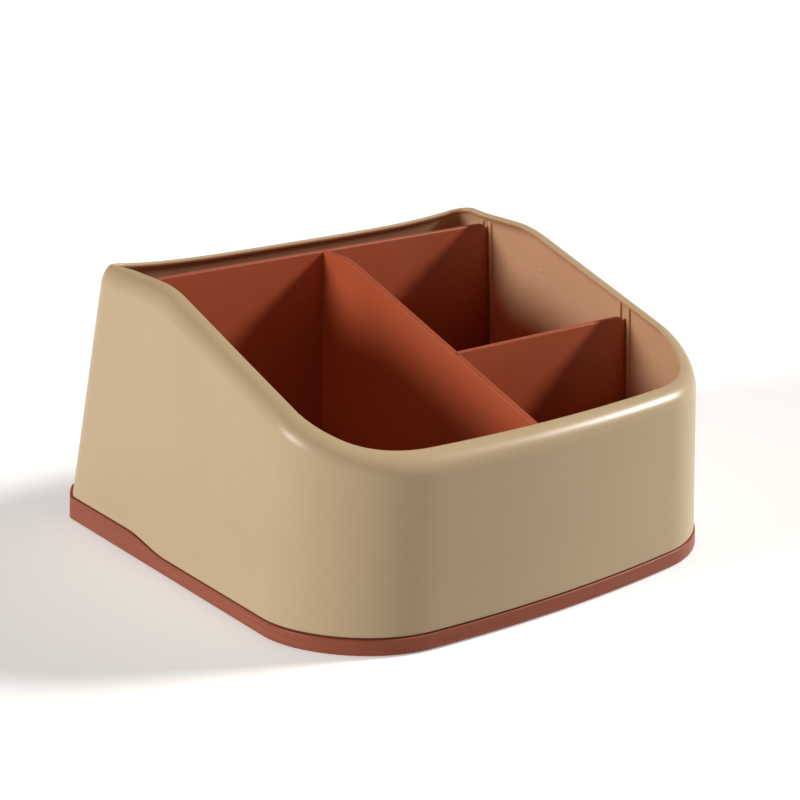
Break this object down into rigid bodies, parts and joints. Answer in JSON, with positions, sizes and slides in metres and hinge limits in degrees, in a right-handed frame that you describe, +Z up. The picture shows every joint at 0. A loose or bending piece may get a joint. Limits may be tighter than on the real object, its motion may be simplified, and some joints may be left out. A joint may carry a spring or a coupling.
{
  "type": "desk organizer",
  "caption": "Low tapered desk organizer: a sleeve with a rolled sloping rim over a base tray with a back panel, a long divider and a cross divider.",
  "frame": {"origin": "middle of the footprint, on the desk, under the rubber feet", "axes": "+Z up, -Y towards the low front rim, +X towards the side with the cross divider"},
  "size_m": [0.1608, 0.146, 0.0851],
  "materials": {
    "shell": "satin cream plastic with a fine moulded grain",
    "tray": "satin terracotta plastic",
    "dividers": "satin terracotta plastic",
    "feet": "matt dark rubber"
  },
  "bodies": {
    "base": {"base_tray": "tray", "back_panel": "dividers", "long_divider": "dividers", "cross_divider": "dividers", "foot_front_left": "feet", "foot_front_right": "feet", "foot_rear_left": "feet", "foot_rear_right": "feet"},
    "shell": {"outer_shell": "shell"}
  },
  "joints": [
    {"name": "shell_lift", "type": "slide", "parent": "base", "child": "shell", "axis": [0, 0, 1], "range_m": [0, 0.095]}
  ]
}
